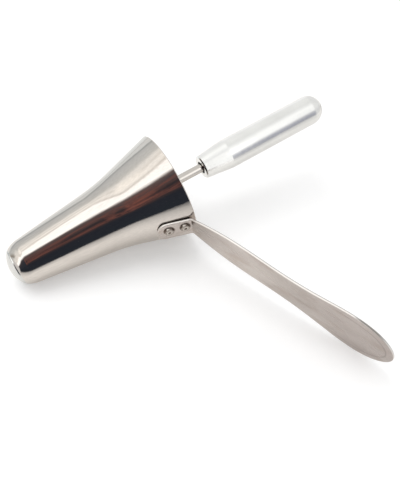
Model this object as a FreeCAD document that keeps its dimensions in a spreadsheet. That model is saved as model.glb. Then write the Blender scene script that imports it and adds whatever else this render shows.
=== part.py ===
"""Tubular rectal speculum with a riveted strap handle and a loose obturator.

The instrument frame has X along the tube, from the tip's plane to the mouth, and Z out
through the middle of the handle's tab. Everything is drawn in that frame, or in a frame of
its own placed in it, and the finished pieces are then laid down together as the instrument
lies on a table: on the tube's tip, on the mouth's rim and on the handle's lower edge.
Lengths are in millimetres and angles in degrees.
"""
import FreeCAD
import Part
import Sketcher
import math
import os

from FreeCAD import Placement, Rotation, Vector

# Driving sizes, each written once
SIZES = {
    # The tube: a shallow cone, a steeper flare and a curled-in tip
    "tube_length": 77.3,
    "mouth_radius": 25.0,
    "knee_station": 46.5,
    "knee_radius": 15.8,
    "knee_blend_radius": 95.0,
    "cone_angle": 7.2,
    "tube_wall": 1.0,
    "curl_length": 5.2,
    "curl_radius": 12.0,
    "tip_bore_radius": 8.3,
    "tip_edge_break": 0.15,
    "rim_break": 0.25,
    # The handle: one strip with a tab, a bend and a blade
    "strip_thickness": 1.1,
    "tab_length": 14.8,
    "tab_half_width": 5.6,
    "tab_corner_radius": 4.0,
    "bend_setback": 3.1,
    "bend_inner_radius": 1.2,
    "blade_angle": 70.7,
    "blade_length": 99.9,
    "shoulder_station": 24.4,
    "shoulder_half_width": 9.8,
    "waist_station": 41.4,
    "waist_half_width": 9.55,
    "flank_station": 63.4,
    "flank_half_width": 10.95,
    "spoon_station": 81.9,
    "spoon_half_width": 13.8,
    "tip_turn_station": 94.4,
    "tip_turn_half_width": 9.9,
    # The rivets through the tab
    "rivet_setback": 2.45,
    "rivet_pitch": 7.3,
    "rivet_offset": 1.25,
    "shank_radius": 1.5,
    "head_radius": 2.4,
    "head_top_radius": 2.0,
    "head_height": 1.1,
    "dimple_radius": 0.75,
    "dimple_depth": 0.5,
    "tail_radius": 2.1,
    "tail_height": 0.6,
    # The obturator: plug, rod and grip
    "plug_clearance": 0.05,
    "plug_proud": 3.5,
    "dome_radius": 13.0,
    "plug_length": 16.0,
    "plug_bore_depth": 9.0,
    "rod_radius": 2.1,
    "rod_chamfer": 0.4,
    "grip_gap": 17.6,
    "grip_length": 68.5,
    "grip_radius": 7.23,
    "grip_front_radius": 5.6,
    "grip_cone_length": 14.0,
    "grip_front_chamfer": 0.5,
    "recess_radius": 3.0,
    "recess_depth": 2.5,
    "grip_bore_depth": 22.0,
}

FLARE_SLOPE = "atan((sizes.mouth_radius - sizes.knee_radius) / (sizes.tube_length - sizes.knee_station))"
BEND_ANGLE = f"(sizes.blade_angle * 1deg - {FLARE_SLOPE})"
CONE_SLOPE = "(sizes.cone_angle * 1deg)"

# An arc's side, seen along its run, and its height over its chord before its radius is set
RIGHT = 1
LEFT = -1
FIRST_BULGE = 0.1

doc = FreeCAD.newDocument("speculum")
sizes = doc.addObject("Spreadsheet::Sheet", "sizes")
for row, (alias, number) in enumerate(SIZES.items(), start=1):
    sizes.set(f"A{row}", alias)
    sizes.set(f"B{row}", str(number))
    sizes.setAlias(f"B{row}", alias)
doc.recompute()


def size(alias):
    """The number in the sheet's cell of that name."""
    return float(sizes.get(alias))


def new_body(name):
    body = doc.addObject("PartDesign::Body", name)
    body.Label = name
    return body


def origin_plane(body, role):
    return next(feature for feature in body.Origin.OriginFeatures if feature.Role == role)


def new_sketch(body, name, role):
    sketch = body.newObject("Sketcher::SketchObject", name)
    sketch.AttachmentSupport = (origin_plane(body, role), [""])
    sketch.MapMode = "FlatFace"
    return sketch


def tilt_sketch(sketch, x, z, slope):
    """Moves an XY sketch to (x, z) and turns its own X up by the slope; all three are expressions."""
    sketch.AttachmentOffset = Placement(Vector(), Rotation(Vector(0, -1, 0), 1))
    sketch.setExpression("AttachmentOffset.Base.x", x)
    sketch.setExpression("AttachmentOffset.Base.z", z)
    sketch.setExpression("AttachmentOffset.Rotation.Angle", slope)


def bind(sketch, name, expression, *constraint):
    """Adds a measured constraint and ties its value to the sheet."""
    index = sketch.addConstraint(Sketcher.Constraint(*constraint))
    sketch.renameConstraint(index, name)
    sketch.setExpression(f"Constraints.{name}", expression)


def add_corner(sketch, name, x, y):
    """A construction point at two expressions; None keeps the point on that axis of the sketch."""
    point = sketch.addGeometry(Part.Point(Vector(1, 1, 0)), True)
    for letter, expression, kind, axis in (("x", x, "DistanceX", -2), ("y", y, "DistanceY", -1)):
        if expression is None:
            sketch.addConstraint(Sketcher.Constraint("PointOnObject", point, 1, axis))
        else:
            bind(sketch, f"{name}_{letter}", expression, kind, -1, 1, point, 1, 1.0)
    return point


def draw_outline(sketch, corners, arcs=()):
    """Draws a closed outline round named corners, with lines, and arcs where arcs names a corner.

    corners maps a name to its (x, y) expressions. arcs maps the corner that an arc starts
    from to the arc's radius expression and the side of its run that it bulges to.
    """
    arcs = dict(arcs)
    points = {name: add_corner(sketch, name, *place) for name, place in corners.items()}
    doc.recompute()
    names = list(corners)
    for first, second in zip(names, names[1:] + names[:1]):
        start = sketch.getPoint(points[first], 1)
        end = sketch.getPoint(points[second], 1)
        if first in arcs:
            run = end - start
            radius, side = arcs[first]
            outward = Vector(run.y, -run.x, 0) * side
            edge = sketch.addGeometry(Part.Arc(start, (start + end) * 0.5 + outward * FIRST_BULGE, end))
            ends = (1, 2) if sketch.getPoint(edge, 1).distanceToPoint(start) < run.Length / 2 else (2, 1)
        else:
            edge = sketch.addGeometry(Part.LineSegment(start, end))
            ends = (1, 2)
        sketch.addConstraint(Sketcher.Constraint("Coincident", edge, ends[0], points[first], 1))
        sketch.addConstraint(Sketcher.Constraint("Coincident", edge, ends[1], points[second], 1))
        if first in arcs:
            bind(sketch, f"{first}_radius", radius, "Radius", edge, run.Length)
    doc.recompute()


def revolve(body, sketch, axis="H_Axis"):
    turned = body.newObject("PartDesign::Revolution", f"{sketch.Name}_turned")
    turned.Profile = sketch
    turned.ReferenceAxis = (sketch, [axis])
    turned.Angle = 360
    sketch.Visibility = False
    doc.recompute()
    return turned


def pad(body, sketch, length):
    raised = body.newObject("PartDesign::Pad", f"{sketch.Name}_raised")
    raised.Profile = sketch
    raised.setExpression("Length", length)
    doc.recompute()
    return raised


def pocket(body, sketch, depth):
    """Cuts a pocket and checks that it took something away."""
    before = body.Shape.Volume
    cut = body.newObject("PartDesign::Pocket", f"{sketch.Name}_cut")
    cut.Profile = sketch
    cut.setExpression("Length", depth)
    doc.recompute()
    if body.Shape.Volume > before - 0.01:
        raise RuntimeError(f"{cut.Name} cuts nothing")
    return cut


def dress(body, kind, edges, measure, expression):
    """A fillet or chamfer of the body's tip on the edges that the test picks."""
    tip = body.Tip
    names = [f"Edge{index}" for index, edge in enumerate(tip.Shape.Edges, start=1) if edges(edge)]
    dressed = body.newObject(f"PartDesign::{kind}", f"{body.Name}_{kind.lower()}")
    dressed.Base = (tip, names)
    dressed.setExpression(measure, expression)
    doc.recompute()
    return dressed


def is_ring(edge, station, radius=None):
    """True for a whole circle about X at that station, and of that radius where one is given."""
    if edge.Degenerated or not isinstance(edge.Curve, Part.Circle):
        return False
    if abs(edge.Curve.Center.x - station) > 0.01:
        return False
    if math.hypot(edge.Curve.Center.y, edge.Curve.Center.z) > 0.01:
        return False
    return radius is None or abs(edge.Curve.Radius - radius) < 0.01


def add_rivet_holes(body, sketch):
    """Two shank holes in a sketch whose origin is where the tab's bend starts."""
    offset = size("rivet_offset")
    radius = size("shank_radius")
    places = ("sizes.rivet_setback", "sizes.rivet_setback + sizes.rivet_pitch")
    for index, place in enumerate(places, start=1):
        setback = size("rivet_setback") + (index - 1) * size("rivet_pitch")
        hole = sketch.addGeometry(Part.Circle(Vector(-setback, offset, 0), Vector(0, 0, 1), radius))
        bind(sketch, f"hole_{index}_offset", "sizes.rivet_offset", "DistanceY", -1, 1, hole, 3, offset)
        bind(sketch, f"hole_{index}_place", place, "DistanceX", hole, 3, -1, 1, setback)
        bind(sketch, f"hole_{index}_radius", "sizes.shank_radius", "Radius", hole, radius)
    return pocket(body, sketch, "2 * sizes.strip_thickness + 2 * sizes.tube_wall")


# Speculum tube
CONE_AT_CURL = f"(sizes.knee_radius - (sizes.knee_station - sizes.curl_length) * tan({CONE_SLOPE}))"
CURL_CENTRE_X = f"(sizes.curl_length + sizes.curl_radius * sin({CONE_SLOPE}))"
CURL_CENTRE_Y = f"({CONE_AT_CURL} - sizes.curl_radius * cos({CONE_SLOPE}))"
KNEE_TANGENT = f"(sizes.knee_blend_radius * tan(({FLARE_SLOPE} - {CONE_SLOPE}) / 2))"


def knee_point(sign, slope, depth):
    """Where the knee's blend meets the line of that slope, at a depth under the outer surface."""
    x = f"sizes.knee_station + {sign} * {KNEE_TANGENT} * cos({slope}) + {depth} * sin({slope})"
    y = f"sizes.knee_radius + {sign} * {KNEE_TANGENT} * sin({slope}) - {depth} * cos({slope})"
    return x, y


def curl_start(radius):
    """Where a curl of that radius about the tip's own centre meets its cone."""
    x = f"({CURL_CENTRE_X} - {radius} * sin({CONE_SLOPE}))"
    y = f"({CURL_CENTRE_Y} + {radius} * cos({CONE_SLOPE}))"
    return x, y


def curl_station(radius, height):
    """Station where a curl of that radius comes down to a height."""
    return f"({CURL_CENTRE_X} - sqrt({radius}^2 - ({height} - {CURL_CENTRE_Y})^2))"


def make_speculum_tube():
    """A wall of even thickness: curl, cone, blended knee and flare, outside and then inside."""
    body = new_body("speculum_tube")
    profile = new_sketch(body, "tube_profile", "XZ_Plane")
    inner_curl = "(sizes.curl_radius - sizes.tube_wall)"
    draw_outline(profile, {
        "rim": ("sizes.tube_length", "sizes.mouth_radius"),
        "knee_flare": knee_point(1, FLARE_SLOPE, "0"),
        "knee_cone": knee_point(-1, CONE_SLOPE, "0"),
        "curl": curl_start("sizes.curl_radius"),
        "tip": (None, f"{CURL_CENTRE_Y} + sqrt(sizes.curl_radius^2 - {CURL_CENTRE_X}^2)"),
        "bore": (None, "sizes.tip_bore_radius"),
        "bore_end": (curl_station(inner_curl, "sizes.tip_bore_radius"), "sizes.tip_bore_radius"),
        "inner_curl": curl_start(inner_curl),
        "inner_knee_cone": knee_point(-1, CONE_SLOPE, "sizes.tube_wall"),
        "inner_knee_flare": knee_point(1, FLARE_SLOPE, "sizes.tube_wall"),
        "inner_rim": ("sizes.tube_length", f"sizes.mouth_radius - sizes.tube_wall / cos({FLARE_SLOPE})"),
    }, {
        "knee_flare": ("sizes.knee_blend_radius", LEFT),
        "curl": ("sizes.curl_radius", RIGHT),
        "bore_end": (inner_curl, LEFT),
        "inner_knee_cone": ("sizes.knee_blend_radius + sizes.tube_wall", RIGHT),
    })
    revolve(body, profile)

    holes = new_sketch(body, "tube_rivet_holes", "XY_Plane")
    tilt_sketch(
        holes,
        "sizes.tube_length - sizes.bend_setback",
        f"sizes.mouth_radius - sizes.bend_setback * tan({FLARE_SLOPE})",
        FLARE_SLOPE,
    )
    add_rivet_holes(body, holes)
    mouth = size("tube_length")
    dress(body, "Chamfer", lambda edge: is_ring(edge, mouth), "Size", "sizes.rim_break")
    dress(body, "Chamfer", lambda edge: is_ring(edge, 0.0), "Size", "sizes.tip_edge_break")
    return body


# Handle
def blade_side(side):
    """One side of the blade's outline, from the bend to the middle of its round end."""
    stations = [
        (0.0, size("tab_half_width")),
        (size("shoulder_station"), size("shoulder_half_width")),
        (size("waist_station"), size("waist_half_width")),
        (size("flank_station"), size("flank_half_width")),
        (size("spoon_station"), size("spoon_half_width")),
        (size("tip_turn_station"), size("tip_turn_half_width")),
        (size("blade_length"), 0.0),
    ]
    curve = Part.BSplineCurve()
    curve.interpolate(
        Points=[Vector(along, side * across, 0) for along, across in stations],
        InitialTangent=Vector(1, side * 0.3, 0),
        FinalTangent=Vector(0, -side, 0),
    )
    return curve


def make_handle_blade():
    """Tab, bend and blade; the frame's origin is where the bend starts, under the strip."""
    body = new_body("handle_blade")
    tab = new_sketch(body, "tab_outline", "XY_Plane")
    draw_outline(tab, {
        "root_low": (None, "-sizes.tab_half_width"),
        "root_high": (None, "sizes.tab_half_width"),
        "corner_high": ("-(sizes.tab_length - sizes.tab_corner_radius)", "sizes.tab_half_width"),
        "end_high": ("-sizes.tab_length", "sizes.tab_half_width - sizes.tab_corner_radius"),
        "end_low": ("-sizes.tab_length", "-(sizes.tab_half_width - sizes.tab_corner_radius)"),
        "corner_low": ("-(sizes.tab_length - sizes.tab_corner_radius)", "-sizes.tab_half_width"),
    }, {
        "corner_high": ("sizes.tab_corner_radius", RIGHT),
        "end_low": ("sizes.tab_corner_radius", RIGHT),
    })
    pad(body, tab, "sizes.strip_thickness")

    section = new_sketch(body, "bend_section", "YZ_Plane")
    draw_outline(section, {
        "low": ("-sizes.tab_half_width", None),
        "right": ("sizes.tab_half_width", None),
        "right_top": ("sizes.tab_half_width", "sizes.strip_thickness"),
        "top": ("-sizes.tab_half_width", "sizes.strip_thickness"),
    })
    half_width = size("tab_half_width")
    rise = size("strip_thickness") + size("bend_inner_radius")
    reach = "(sizes.strip_thickness + sizes.bend_inner_radius)"
    hinge = Part.LineSegment(Vector(-half_width, rise, 0), Vector(half_width, rise, 0))
    axis = section.addGeometry(hinge, True)
    section.addConstraint(Sketcher.Constraint("Horizontal", axis))
    bind(section, "axis_from", "-sizes.tab_half_width", "DistanceX", -1, 1, axis, 1, -half_width)
    bind(section, "axis_to", "sizes.tab_half_width", "DistanceX", -1, 1, axis, 2, half_width)
    bind(section, "axis_rise", reach, "DistanceY", -1, 1, axis, 1, rise)
    bend = body.newObject("PartDesign::Revolution", "bend")
    bend.Profile = section
    bend.ReferenceAxis = (section, ["Axis0"])
    bend.setExpression("Angle", BEND_ANGLE)
    doc.recompute()
    if bend.Shape.BoundBox.XMax < 0.5:
        bend.Reversed = True
        doc.recompute()

    outline = new_sketch(body, "blade_outline", "XY_Plane")
    tilt_sketch(outline, f"{reach} * sin({BEND_ANGLE})", f"{reach} * (1 - cos({BEND_ANGLE}))", BEND_ANGLE)
    for side in (1, -1):
        edge = outline.addGeometry(blade_side(side))
        outline.addConstraint(Sketcher.Constraint("Block", edge))
    corner = Vector(0, size("tab_half_width"), 0)
    root = outline.addGeometry(Part.LineSegment(-corner, corner))
    outline.addConstraint(Sketcher.Constraint("Coincident", root, 2, 0, 1))
    outline.addConstraint(Sketcher.Constraint("Coincident", root, 1, 1, 1))
    pad(body, outline, "sizes.strip_thickness")

    holes = new_sketch(body, "tab_rivet_holes", "XY_Plane")
    holes.AttachmentOffset = Placement(Vector(0, 0, 1), Rotation())
    holes.setExpression("AttachmentOffset.Base.z", "sizes.strip_thickness")
    add_rivet_holes(body, holes)
    return body


# Rivets
def make_rivet(name):
    """One rivet; its own Z is the shank, and its origin lies between the tab and the flare."""
    body = new_body(name)
    profile = new_sketch(body, f"{name}_profile", "XZ_Plane")
    setback = "(sizes.bend_setback + sizes.rivet_setback + sizes.rivet_pitch)"
    inside = f"(sizes.mouth_radius - sizes.tube_wall - {setback} * tan({FLARE_SLOPE}))"
    seat = f"(sizes.tube_wall + (sizes.rivet_offset + sizes.tail_radius)^2 / (2 * {inside}))"
    top = "(sizes.strip_thickness + sizes.head_height)"
    draw_outline(profile, {
        "tail_middle": (None, f"-({seat} + sizes.tail_height)"),
        "tail_edge": ("sizes.tail_radius", f"-{seat}"),
        "tail_root": ("sizes.shank_radius", f"-{seat}"),
        "head_root": ("sizes.shank_radius", "sizes.strip_thickness"),
        "head_edge": ("sizes.head_radius", "sizes.strip_thickness"),
        "head_shoulder": ("sizes.head_top_radius", top),
        "dimple_edge": ("sizes.dimple_radius", top),
        "dimple_middle": (None, f"{top} - sizes.dimple_depth"),
    })
    revolve(body, profile, "V_Axis")
    return body


# Obturator
def make_obturator_nose():
    """The plug: a dome, a land through the tip's bore, and a coned tail inside the tube."""
    body = new_body("obturator_nose")
    profile = new_sketch(body, "nose_profile", "XZ_Plane")
    land = "(sizes.tip_bore_radius - sizes.plug_clearance)"
    curl = "(sizes.curl_radius - sizes.tube_wall - sizes.plug_clearance)"
    tail_x, tail_y = curl_start(curl)
    dome_edge = f"(sizes.dome_radius - sizes.plug_proud - sqrt(sizes.dome_radius^2 - {land}^2))"
    draw_outline(profile, {
        "bore_end": ("sizes.plug_length - sizes.plug_bore_depth", None),
        "apex": ("-sizes.plug_proud", None),
        "dome_edge": (dome_edge, land),
        "shoulder": (curl_station(curl, land), land),
        "tail": (tail_x, tail_y),
        "rear": ("sizes.plug_length", f"{tail_y} + (sizes.plug_length - {tail_x}) * tan({CONE_SLOPE})"),
        "bore_mouth": ("sizes.plug_length", "sizes.rod_radius"),
        "bore_corner": ("sizes.plug_length - sizes.plug_bore_depth", "sizes.rod_radius"),
    }, {"apex": ("sizes.dome_radius", LEFT)})
    revolve(body, profile)
    return body


def make_obturator_rod():
    body = new_body("obturator_rod")
    section = new_sketch(body, "rod_section", "YZ_Plane")
    circle = section.addGeometry(Part.Circle(Vector(), Vector(0, 0, 1), 1.0))
    section.addConstraint(Sketcher.Constraint("Coincident", circle, 3, -1, 1))
    bind(section, "rod_radius", "sizes.rod_radius", "Radius", circle, 1.0)
    front = "(sizes.plug_length - sizes.plug_bore_depth)"
    section.AttachmentOffset = Placement(Vector(0, 0, 1), Rotation())
    section.setExpression("AttachmentOffset.Base.z", front)
    pad(body, section, f"sizes.tube_length + sizes.grip_gap + sizes.grip_bore_depth - {front}")
    dress(body, "Chamfer", lambda edge: isinstance(edge.Curve, Part.Circle), "Size", "sizes.rod_chamfer")
    return body


def make_obturator_grip():
    """Coned front with a recess round the rod, a plain cylinder and a round end."""
    body = new_body("obturator_grip")
    profile = new_sketch(body, "grip_profile", "XZ_Plane")
    front = "(sizes.tube_length + sizes.grip_gap)"
    draw_outline(profile, {
        "bore_end": (f"{front} + sizes.grip_bore_depth", None),
        "end": (f"{front} + sizes.grip_length", None),
        "round_start": (f"{front} + sizes.grip_length - sizes.grip_radius", "sizes.grip_radius"),
        "cone_end": (f"{front} + sizes.grip_cone_length", "sizes.grip_radius"),
        "front_edge": (front, "sizes.grip_front_radius"),
        "recess_edge": (front, "sizes.recess_radius"),
        "recess_floor": (f"{front} + sizes.recess_depth", "sizes.recess_radius"),
        "bore_mouth": (f"{front} + sizes.recess_depth", "sizes.rod_radius"),
        "bore_corner": (f"{front} + sizes.grip_bore_depth", "sizes.rod_radius"),
    }, {"end": ("sizes.grip_radius", RIGHT)})
    revolve(body, profile)
    face = size("tube_length") + size("grip_gap")
    dress(
        body, "Chamfer",
        lambda edge: is_ring(edge, face, size("grip_front_radius")),
        "Size", "sizes.grip_front_chamfer",
    )
    return body


# Places in the instrument frame
def flare_slope():
    rise = size("mouth_radius") - size("knee_radius")
    return math.degrees(math.atan2(rise, size("tube_length") - size("knee_station")))


def tab_frame():
    """Where the bend starts on the flare, with X towards the mouth and Z off the flare."""
    back = size("bend_setback")
    height = size("mouth_radius") - back * math.tan(math.radians(flare_slope()))
    return Placement(Vector(size("tube_length") - back, 0, height), Rotation(Vector(0, -1, 0), flare_slope()))


def blade_frame():
    """The blade's root in the middle of its upper face, the face that looks at the tip."""
    turn = size("blade_angle") - flare_slope()
    reach = size("strip_thickness") + size("bend_inner_radius")
    angle = math.radians(turn)
    root = Placement(
        Vector(reach * math.sin(angle), 0, reach * (1 - math.cos(angle))),
        Rotation(Vector(0, -1, 0), turn),
    )
    face = Placement(Vector(0, 0, size("strip_thickness")), Rotation())
    return tab_frame().multiply(root).multiply(face)


def lying_attitude():
    """Turn that lays the tube on its tip and rim and rolls it until the blade's edge is level with them."""
    slope = math.radians(size("cone_angle"))
    cone_at_curl = size("knee_radius") - (size("knee_station") - size("curl_length")) * math.tan(slope)
    centre = Vector(
        size("curl_length") + size("curl_radius") * math.sin(slope),
        0,
        cone_at_curl - size("curl_radius") * math.cos(slope),
    )
    rim = Vector(size("tube_length"), 0, size("mouth_radius"))
    across = rim - centre
    pitch = math.degrees(math.atan2(across.z, across.x) - math.asin(size("curl_radius") / across.Length))
    edge = [blade_frame().multVec(point) for point in blade_side(-1).discretize(120)]

    def turn(roll):
        return Rotation(Vector(0, -1, 0), pitch).multiply(Rotation(Vector(1, 0, 0), roll))

    def blade_height(roll):
        """Height of the blade's lowest point over the level of the rim's lowest point."""
        rim_low = turn(0).multVec(Vector(size("tube_length"), 0, -size("mouth_radius"))).z
        return min(turn(roll).multVec(point).z for point in edge) - rim_low

    high, low = 60.0, 150.0
    for _ in range(50):
        middle = (high + low) / 2
        if blade_height(middle) > 0:
            high = middle
        else:
            low = middle
    return turn(high)


def check_document():
    for item in doc.Objects:
        if "Invalid" in item.State or "Error" in item.State:
            raise RuntimeError(f"{item.Name} failed: {item.State}")


def check_shape(body):
    if body.Shape.isNull() or not body.Shape.isValid() or len(body.Shape.Solids) != 1:
        raise RuntimeError(f"{body.Label} isn't one valid solid")


def main():
    tube = make_speculum_tube()
    blade = make_handle_blade()
    rivets = [make_rivet("rivet_front"), make_rivet("rivet_rear")]
    obturator = [make_obturator_nose(), make_obturator_rod(), make_obturator_grip()]
    doc.recompute()
    check_document()

    places = {tube: Placement(), blade: tab_frame()}
    for rivet, setback in zip(rivets, (size("rivet_setback") + size("rivet_pitch"), size("rivet_setback"))):
        places[rivet] = tab_frame().multiply(Placement(Vector(-setback, size("rivet_offset"), 0), Rotation()))
    for piece in obturator:
        places[piece] = Placement()

    lay = Placement(Vector(), lying_attitude())
    for body, place in places.items():
        body.Placement = lay.multiply(place)
    doc.recompute()

    # The row's origin is under the middle of the whole instrument as it lies
    box = Part.makeCompound([body.Shape for body in places]).optimalBoundingBox(False, False)
    shift = Placement(Vector(-box.Center.x, -box.Center.y, -box.ZMin), Rotation())
    for body in places:
        body.Placement = shift.multiply(body.Placement)
    doc.recompute()

    os.makedirs("parts", exist_ok=True)
    for body in places:
        check_shape(body)
        body.Shape.exportStep(os.path.join("parts", f"{body.Label}.step"))
        print(body.Label, "volume", round(body.Shape.Volume, 1), "lowest", round(body.Shape.BoundBox.ZMin, 3))
    axis = tube.Placement.Rotation.multVec(Vector(1, 0, 0))
    tip = tube.Placement.multVec(Vector(0, 0, 0))
    mouth = tube.Placement.multVec(Vector(size("tube_length"), 0, 0))
    print("tube axis", axis, "tip", tip, "mouth", mouth)
    print("box", box.XLength, box.YLength, box.ZLength)


main()
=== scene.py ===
"""Looks of the tubular speculum: polished tube, riveted strap handle and loose obturator."""
import math

import bpy
from mathutils import Matrix, Vector


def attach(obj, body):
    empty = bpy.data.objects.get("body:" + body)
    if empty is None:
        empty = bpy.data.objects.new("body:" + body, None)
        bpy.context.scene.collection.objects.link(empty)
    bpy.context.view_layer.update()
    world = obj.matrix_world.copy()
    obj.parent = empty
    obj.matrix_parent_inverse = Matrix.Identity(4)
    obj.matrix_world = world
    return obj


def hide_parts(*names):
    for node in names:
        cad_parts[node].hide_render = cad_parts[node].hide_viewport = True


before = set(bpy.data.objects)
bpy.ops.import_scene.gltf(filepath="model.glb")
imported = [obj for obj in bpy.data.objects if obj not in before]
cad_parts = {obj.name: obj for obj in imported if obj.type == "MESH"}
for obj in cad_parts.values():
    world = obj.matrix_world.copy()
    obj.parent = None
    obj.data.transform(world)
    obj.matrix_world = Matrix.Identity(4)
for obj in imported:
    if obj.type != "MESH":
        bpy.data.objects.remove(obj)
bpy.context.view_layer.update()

# Where the instrument lies in the row frame, in millimetres
TIP_CENTRE = Vector((-78.348688, 47.007012, 9.391572))
ALONG = Vector((0.9806686515, 0.0, 0.1956757420))
ROLL = 99.06

# The tube
TUBE_LENGTH = 77.3
MOUTH_RADIUS = 25.0
KNEE_STATION = 46.5
KNEE_RADIUS = 15.8
KNEE_BLEND = 95.0
CONE_SLOPE = math.radians(7.2)
WALL = 1.0
CURL_LENGTH = 5.2
CURL_RADIUS = 12.0
TIP_BORE = 8.3
RIM_ROUND = 0.32
LIP_ROUND = 0.12

# The handle, one bent strip
STRIP = 1.1
STRIP_EDGE = 0.22
TAB_LENGTH = 14.8
TAB_HALF_WIDTH = 5.6
TAB_CORNER = 4.0
TAB_HUG = 0.38
TAB_HUG_RUN = 9.0
EDGE_STEPS = 4
EDGE_MIDDLE = 0.42
BEND_SETBACK = 3.1
BEND_INNER = 1.2
BLADE_SLOPE = math.radians(70.7)
BLADE_OUTLINE = (
    (0.0, 5.6), (24.4, 9.8), (41.4, 9.55), (63.4, 10.95), (81.9, 13.8), (94.4, 9.9), (99.9, 0.0),
)

# The blade's end, ground thinner round its border; millimetres, but for the widening
GROUND_BORDER = 1.5
GROUND_START = 64.0
GROUND_RUN = 16.0
GROUND_THINNING = 0.10
GROUND_EASE = 1.2
GROUND_WIDENING = 1.1

# How an edge's painted light is marked: a painted highlight up to 1, painted shade past 1; the places
# are millimetres
BEND_MARK = 0.3
BACK_CORNER_SHADE = 1.75
SHADED_SIDE = 1
SHADE_MARK = 0.9
SHADE_START = 79.5
SHADE_RISE = 3.0
SHADE_END = 96.0
SHADE_FALL = 5.0

# The rivets
RIVET_SETBACK = 2.45
RIVET_PITCH = 7.3
RIVET_OFFSET = 1.25
SHANK = 1.5
HEAD = 2.4
HEAD_TOP = 2.0
HEAD_HEIGHT = 1.1
DIMPLE = 0.75
DIMPLE_DEPTH = 0.5
TAIL = 2.1
TAIL_HEIGHT = 0.6
GRIMY_FROM = 1.05
GRIMY_RUN = 0.4
GRIMY_TOP = 0.62
PALER_WAY = 100.0
PALER_SPREAD = 26.0
PALER_SHARE = 0.85

# The obturator
PLUG_PLAY = 0.05
PLUG_PROUD = 3.5
DOME = 13.0
PLUG_LENGTH = 16.0
DOME_EASE = 0.6
ROD = 2.1
ROD_HOLD = 1.0
GRIP_GAP = 17.6
GRIP_LENGTH = 68.5
GRIP_RADIUS = 7.23
GRIP_FRONT = 5.6
GRIP_CONE = 14.0
GRIP_CHAMFER = 0.5
RECESS = 3.0
RECESS_DEPTH = 2.5

FLARE_SLOPE = math.atan2(MOUTH_RADIUS - KNEE_RADIUS, TUBE_LENGTH - KNEE_STATION)
BEND = BLADE_SLOPE - FLARE_SLOPE
BEND_ARC = BEND * (BEND_INNER + STRIP / 2)
CONE_WAY = Vector((math.cos(CONE_SLOPE), math.sin(CONE_SLOPE)))
CONE_OUT = Vector((-math.sin(CONE_SLOPE), math.cos(CONE_SLOPE)))
UP_OFF_TUBE = Vector((-ALONG.z, 0.0, ALONG.x))
SIDE_OFF_TUBE = Vector((0.0, 1.0, 0.0))

# The camera of the photograph
CAMERA_PLACE = Vector((-98.760, -137.058, 207.007))
CAMERA_RIGHT = Vector((0.86224422, -0.50597265, 0.02294721))
CAMERA_DOWN = Vector((-0.36030192, -0.64458382, -0.67431018))
CAMERA_FORWARD = Vector((0.35597391, 0.57315213, -0.73809152))
FOCAL_PIXELS = 590.0
PICTURE_HEIGHT = 500.0
SENSOR = 36.0


def instrument_frame():
    """Turns the instrument's own axes, in millimetres, into the row frame, in metres."""
    roll = math.radians(ROLL)
    handle = UP_OFF_TUBE * math.cos(roll) - SIDE_OFF_TUBE * math.sin(roll)
    across = handle.cross(ALONG)
    place = Matrix((
        (ALONG.x, across.x, handle.x, TIP_CENTRE.x),
        (ALONG.y, across.y, handle.y, TIP_CENTRE.y),
        (ALONG.z, across.z, handle.z, TIP_CENTRE.z),
        (0, 0, 0, 1),
    ))
    return Matrix.Scale(0.001, 4) @ place


def tab_frame():
    """Where the bend starts on the flare: X towards the mouth, Z off the flare."""
    height = MOUTH_RADIUS - BEND_SETBACK * math.tan(FLARE_SLOPE)
    place = Matrix.Translation(Vector((TUBE_LENGTH - BEND_SETBACK, 0, height)))
    return place @ Matrix.Rotation(-FLARE_SLOPE, 4, "Y")


INSTRUMENT = instrument_frame()
TAB_PLACE = INSTRUMENT @ tab_frame()


def clamped(value):
    return max(0.0, min(1.0, value))


# Node helpers
def join(tree, source, target):
    tree.links.new(source, target)


def add_node(tree, kind, values=None, **settings):
    """Each value is what an input gets, a socket to link from or a plain value."""
    node = tree.nodes.new(kind)
    for name, setting in settings.items():
        setattr(node, name, setting)
    for place, value in (values or {}).items():
        if isinstance(value, bpy.types.NodeSocket):
            join(tree, value, node.inputs[place])
        else:
            node.inputs[place].default_value = value
    return node


def maths(tree, operation, first, second=0.0, clamp=False):
    """One sum of sockets or numbers; returns its output socket."""
    values = {0: first, 1: second}
    return add_node(tree, "ShaderNodeMath", values, operation=operation, use_clamp=clamp).outputs[0]


def multiply(tree, first, *others):
    for other in others:
        first = maths(tree, "MULTIPLY", first, other)
    return first


def shortfall(tree, limit, source, rate):
    """How far the source is under the limit, at least 0, times the rate."""
    short = maths(tree, "MAXIMUM", maths(tree, "SUBTRACT", limit, source), 0.0)
    return multiply(tree, short, rate)


def blend_colour(tree, factor, first, second, mode="MIX"):
    values = {0: factor, 6: first, 7: second}
    for place, value in values.items():
        if isinstance(value, tuple):
            values[place] = (*value, 1.0)
    return add_node(tree, "ShaderNodeMix", values, data_type="RGBA", blend_type=mode).outputs[2]


def tinted(tree, colour, tint):
    return blend_colour(tree, 1.0, colour, tint, "MULTIPLY")


def ramp(tree, source, stops):
    """A colour ramp of (place, colour) stops; a colour may be one grey number."""
    node = add_node(tree, "ShaderNodeValToRGB", {0: source})
    elements = node.color_ramp.elements
    while len(elements) < len(stops):
        elements.new(0.5)
    for element, (place, colour) in zip(elements, stops):
        element.position = place
        grey = isinstance(colour, (int, float))
        element.color = (colour, colour, colour, 1.0) if grey else (*colour, 1.0)
    return node.outputs[0]


def ranged(tree, source, low, high, from_low=0.3, from_high=0.7, curve="LINEAR"):
    values = {0: source, 1: from_low, 2: from_high, 3: low, 4: high}
    return add_node(tree, "ShaderNodeMapRange", values, interpolation_type=curve).outputs[0]


def smooth_step(tree, source, low, high):
    return ranged(tree, source, 0.0, 1.0, low, high, "SMOOTHSTEP")


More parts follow.
